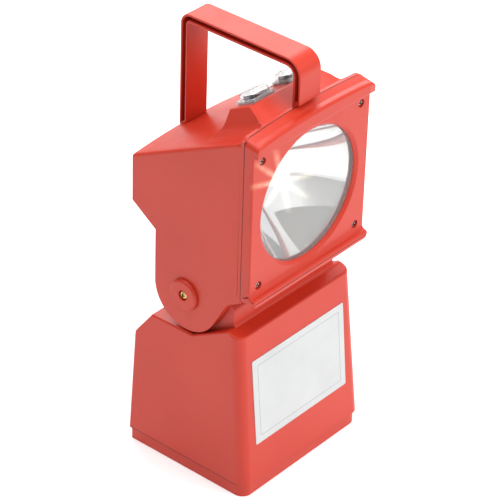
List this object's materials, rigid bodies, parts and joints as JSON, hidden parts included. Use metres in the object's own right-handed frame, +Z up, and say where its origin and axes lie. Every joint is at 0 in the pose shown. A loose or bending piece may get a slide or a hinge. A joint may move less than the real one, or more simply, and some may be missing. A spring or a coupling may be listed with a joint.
{
  "type": "hand lamp",
  "caption": "Rechargeable hand lamp: a square lamp head with a carrying handle and rocker switches tilts on ears about a leaning battery base.",
  "frame": {"origin": "middle of the underside of the bottom cover", "axes": "+Z up, -Y towards the front glass, +X to the lamp's left hand seen from the front"},
  "size_m": [0.134, 0.117, 0.3367],
  "materials": {
    "shell_red": "satin moulded plastic",
    "seal_black": "matt rubber",
    "zinc_steel": "zinc plated",
    "battery_case": "matt case",
    "contact_brass": "tinned brass",
    "core_iron": "laminated sheet",
    "coil_wrap": "wrapped tape",
    "board_green": "board lacquer",
    "parts_grey": "moulded parts",
    "switch_black": "satin moulding",
    "label_white": "satin foil, no print",
    "washer_fibre": "pressed fibre",
    "clear_glass": "clear",
    "bright_mirror": "bright reflector",
    "holder_ivory": "steatite",
    "clear_boot": "clear silicone"
  },
  "bodies": {
    "base": {"base_shell": "shell_red", "bottom_cover": "shell_red", "cover_gasket": "seal_black", "cover_screws": "zinc_steel", "battery": "battery_case", "battery_terminals": "contact_brass", "battery_strap": "zinc_steel", "strap_screws": "zinc_steel", "transformer_core": "core_iron", "transformer_coil": "coil_wrap", "charger_board": "board_green", "board_parts": "parts_grey", "charge_inlet": "switch_black", "inlet_pins": "contact_brass", "rating_label": "label_white", "pivot_cap_left": "shell_red", "pivot_cap_right": "shell_red", "pivot_screws": "zinc_steel", "friction_washers": "washer_fibre"},
    "head": {"head_shell": "shell_red", "front_frame": "shell_red", "frame_screws": "zinc_steel", "frame_gasket": "seal_black", "front_glass": "clear_glass", "glass_gasket": "seal_black", "reflector": "bright_mirror", "retaining_ring": "zinc_steel", "ring_screws": "zinc_steel", "bulb": "clear_glass", "bulb_base": "holder_ivory", "lamp_holder": "holder_ivory", "handle": "shell_red", "handle_pins": "zinc_steel", "switch_body_left": "switch_black", "switch_body_right": "switch_black", "boot_frame_left": "switch_black", "boot_frame_right": "switch_black", "switch_boot_left": "clear_boot", "switch_boot_right": "clear_boot"},
    "rocker_left": {"rocker_left": "switch_black"},
    "rocker_right": {"rocker_right": "switch_black"}
  },
  "joints": [
    {"name": "head_tilt", "type": "hinge", "parent": "base", "child": "head", "pos_m": [0, 0.007, 0.1495], "axis": [1, 0, 0], "range_deg": [-90, 30]},
    {"name": "rocker_left_tip", "type": "hinge", "parent": "head", "child": "rocker_left", "pos_m": [-0.0185, -0.01685, 0.29946], "axis": [0, 0.8918, -0.4524], "range_deg": [-16, 0]},
    {"name": "rocker_right_tip", "type": "hinge", "parent": "head", "child": "rocker_right", "pos_m": [0.0185, -0.01685, 0.29946], "axis": [0, 0.8918, -0.4524], "range_deg": [-16, 0]}
  ]
}
